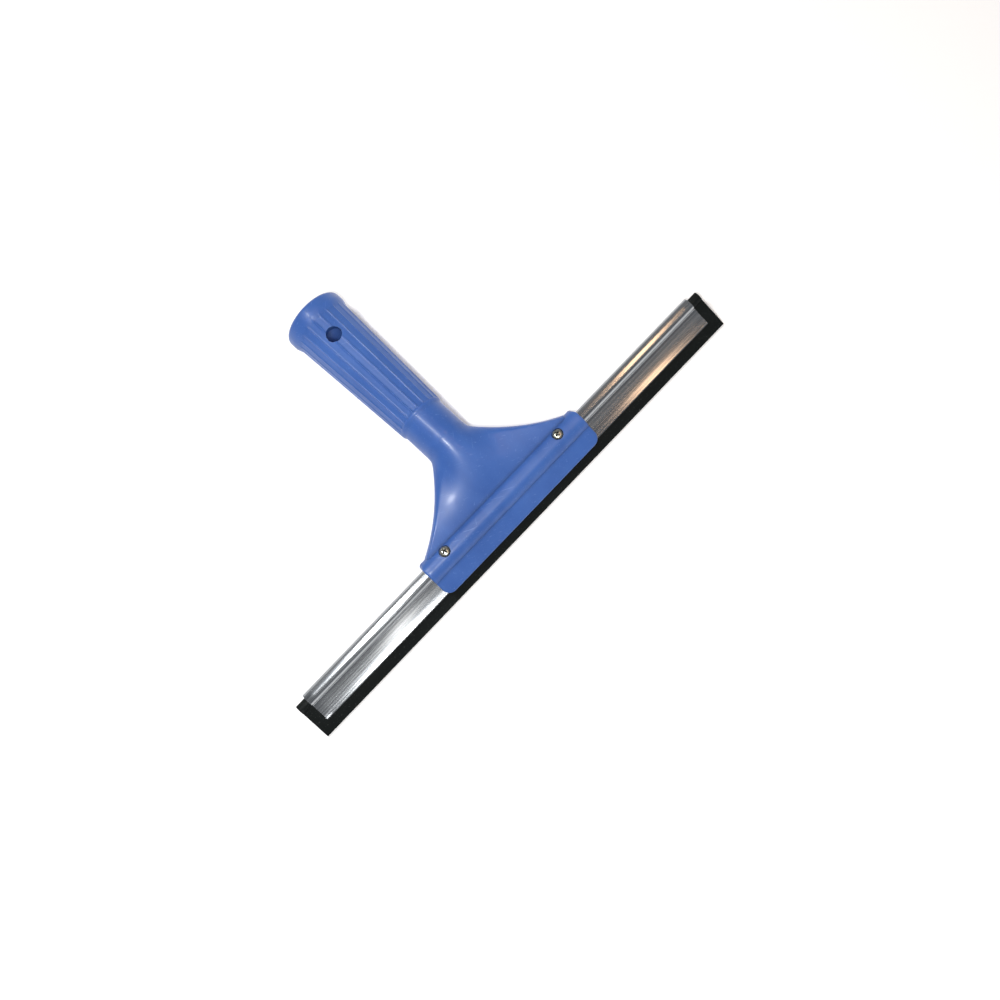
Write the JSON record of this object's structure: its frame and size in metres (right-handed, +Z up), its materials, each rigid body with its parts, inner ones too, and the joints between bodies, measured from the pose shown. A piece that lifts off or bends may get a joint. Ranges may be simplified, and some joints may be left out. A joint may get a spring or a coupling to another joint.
{
  "type": "squeegee applicator",
  "caption": "Moulded squeegee handle with a fluted grip, a fan-shaped yoke and a screw-clamped jaw that holds a steel channel and a straight rubber blade.",
  "frame": {"origin": "middle of the footprint, on the surface that the squeegee lies on", "axes": "+X along the blade, +Y from the blade towards the handle's collar, +Z up, out of the side with the screws; it lies on its back, on the rubber's edge and the collar"},
  "size_m": [0.3, 0.1628, 0.0365],
  "materials": {
    "handle_plastic": "semi-gloss moulded polypropylene, blue",
    "channel_steel": "bright rolled stainless strip",
    "blade_rubber": "matt black",
    "screw_zinc": "bright zinc plate",
    "insert_brass": "turned"
  },
  "bodies": {
    "handle": {"handle_body": "handle_plastic", "insert_left": "insert_brass", "insert_right": "insert_brass"},
    "channel": {"steel_channel": "channel_steel"},
    "blade": {"rubber_blade": "blade_rubber"},
    "screw_left": {"clamp_screw_left": "screw_zinc"},
    "screw_right": {"clamp_screw_right": "screw_zinc"}
  },
  "joints": [
    {"name": "channel_slide", "type": "slide", "parent": "handle", "child": "channel", "axis": [1, 0, 0], "range_m": [-0.0839, 0.0887]},
    {"name": "blade_slide", "type": "slide", "parent": "channel", "child": "blade", "axis": [1, 0, 0], "range_m": [-0.1435, 0.1435]},
    {"name": "left_screw_turn", "type": "hinge", "parent": "handle", "child": "screw_left", "pos_m": [-0.0397, -0.06198, 0.01777], "axis": [0, 0.0966, 0.9953], "range_deg": [0, 1440]},
    {"name": "right_screw_turn", "type": "hinge", "parent": "handle", "child": "screw_right", "pos_m": [0.0445, -0.06198, 0.01777], "axis": [0, 0.0966, 0.9953], "range_deg": [0, 1440]}
  ]
}
